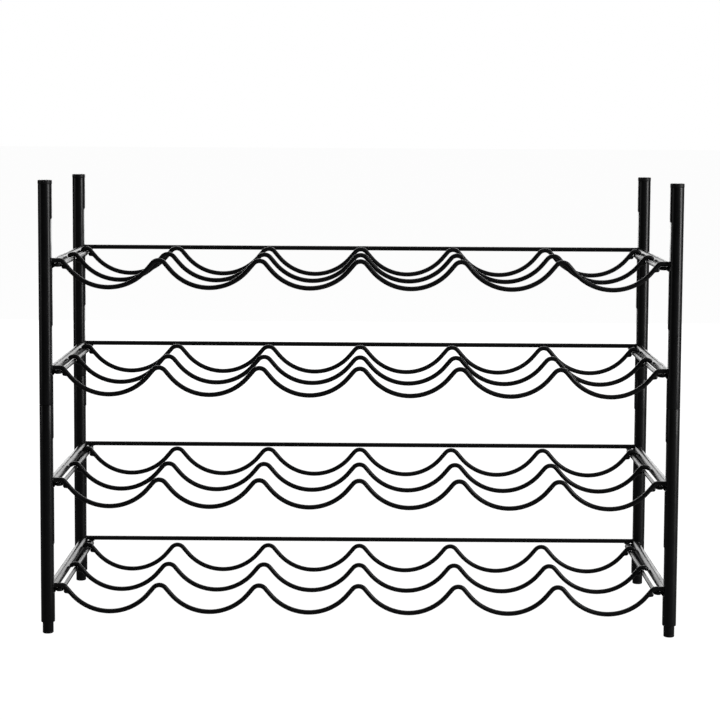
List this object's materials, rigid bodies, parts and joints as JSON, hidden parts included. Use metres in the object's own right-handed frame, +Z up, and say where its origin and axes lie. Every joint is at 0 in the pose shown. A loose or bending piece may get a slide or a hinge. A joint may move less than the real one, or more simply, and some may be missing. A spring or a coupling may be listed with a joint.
{
  "type": "wine rack",
  "caption": "Free-standing black wire wine rack of stacked tube-post modules, with bottle troughs bent from round wire and hooked over side rods.",
  "frame": {"origin": "on the floor under the centre of the rack", "axes": "+X along the rack's width, +Y from the front to the back, +Z up"},
  "size_m": [0.6444, 0.2344, 0.4595],
  "materials": {
    "powder_coated_steel": "semi-gloss black powder coat with fine orange peel",
    "plug_plastic": "fine-grained black moulded plastic"
  },
  "bodies": {
    "lower_module": {"lower_front_left_post": "powder_coated_steel", "lower_front_right_post": "powder_coated_steel", "lower_back_left_post": "powder_coated_steel", "lower_back_right_post": "powder_coated_steel", "front_left_foot": "plug_plastic", "front_right_foot": "plug_plastic", "back_left_foot": "plug_plastic", "back_right_foot": "plug_plastic", "tier_1_left_side_bar": "powder_coated_steel", "tier_1_right_side_bar": "powder_coated_steel", "tier_1_left_hook_rod": "powder_coated_steel", "tier_1_right_hook_rod": "powder_coated_steel", "tier_1_front_wave_wire": "powder_coated_steel", "tier_1_middle_wave_wire": "powder_coated_steel", "tier_1_back_wave_wire": "powder_coated_steel", "tier_1_lower_prongs": "powder_coated_steel", "tier_1_back_rail": "powder_coated_steel", "tier_1_rail_braces": "powder_coated_steel", "tier_2_left_side_bar": "powder_coated_steel", "tier_2_right_side_bar": "powder_coated_steel", "tier_2_left_hook_rod": "powder_coated_steel", "tier_2_right_hook_rod": "powder_coated_steel", "tier_2_front_wave_wire": "powder_coated_steel", "tier_2_middle_wave_wire": "powder_coated_steel", "tier_2_back_wave_wire": "powder_coated_steel", "tier_2_lower_prongs": "powder_coated_steel", "tier_2_back_rail": "powder_coated_steel", "tier_2_rail_braces": "powder_coated_steel"},
    "upper_module": {"upper_front_left_post": "powder_coated_steel", "upper_front_right_post": "powder_coated_steel", "upper_back_left_post": "powder_coated_steel", "upper_back_right_post": "powder_coated_steel", "front_left_cap": "plug_plastic", "front_right_cap": "plug_plastic", "back_left_cap": "plug_plastic", "back_right_cap": "plug_plastic", "tier_3_left_side_bar": "powder_coated_steel", "tier_3_right_side_bar": "powder_coated_steel", "tier_3_left_hook_rod": "powder_coated_steel", "tier_3_right_hook_rod": "powder_coated_steel", "tier_3_front_wave_wire": "powder_coated_steel", "tier_3_middle_wave_wire": "powder_coated_steel", "tier_3_back_wave_wire": "powder_coated_steel", "tier_3_lower_prongs": "powder_coated_steel", "tier_3_back_rail": "powder_coated_steel", "tier_3_rail_braces": "powder_coated_steel", "tier_4_left_side_bar": "powder_coated_steel", "tier_4_right_side_bar": "powder_coated_steel", "tier_4_left_hook_rod": "powder_coated_steel", "tier_4_right_hook_rod": "powder_coated_steel", "tier_4_front_wave_wire": "powder_coated_steel", "tier_4_middle_wave_wire": "powder_coated_steel", "tier_4_back_wave_wire": "powder_coated_steel", "tier_4_lower_prongs": "powder_coated_steel", "tier_4_back_rail": "powder_coated_steel", "tier_4_rail_braces": "powder_coated_steel"}
  },
  "joints": [
    {"name": "upper_module_lift_off", "type": "slide", "parent": "lower_module", "child": "upper_module", "axis": [0, 0, 1], "range_m": [0, 0.03]}
  ]
}
